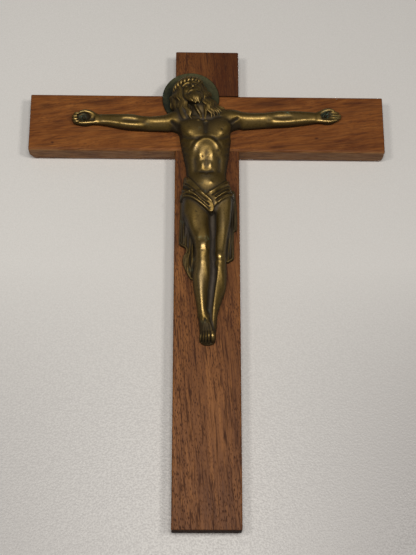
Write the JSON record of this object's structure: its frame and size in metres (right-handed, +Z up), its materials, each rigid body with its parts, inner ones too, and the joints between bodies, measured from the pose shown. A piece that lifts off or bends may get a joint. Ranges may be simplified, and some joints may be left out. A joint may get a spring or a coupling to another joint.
{
  "type": "wall crucifix",
  "caption": "Wall crucifix of two cross-halved hardwood boards with a cast brass corpus, a round nimbus plate behind the head and a keyhole hanger let into the back.",
  "frame": {"origin": "centre of the hanger plate's round entry hole, on the wall plane at the back of the upright", "axes": "+Z up along the upright, +Y out of the back towards the wall, so the front looks along -Y, +X to the right of a person facing the front"},
  "size_m": [0.2226, 0.0315, 0.303],
  "materials": {
    "wood": "satin",
    "corpus_brass": "antique patina, rubbed bright on the high places",
    "nimbus_brass": "dark green patina",
    "nail_brass": "antique",
    "hanger_brass": "satin",
    "screw_steel": "satin"
  },
  "bodies": {
    "root": {"upright": "wood", "crossbar": "wood", "lap_screws": "screw_steel", "corpus": "corpus_brass", "corpus_screws": "screw_steel", "hand_nails": "nail_brass", "foot_nail": "nail_brass", "nimbus": "nimbus_brass", "nimbus_pin": "nail_brass", "hanger_plate": "hanger_brass", "hanger_screws": "nail_brass"}
  },
  "joints": []
}
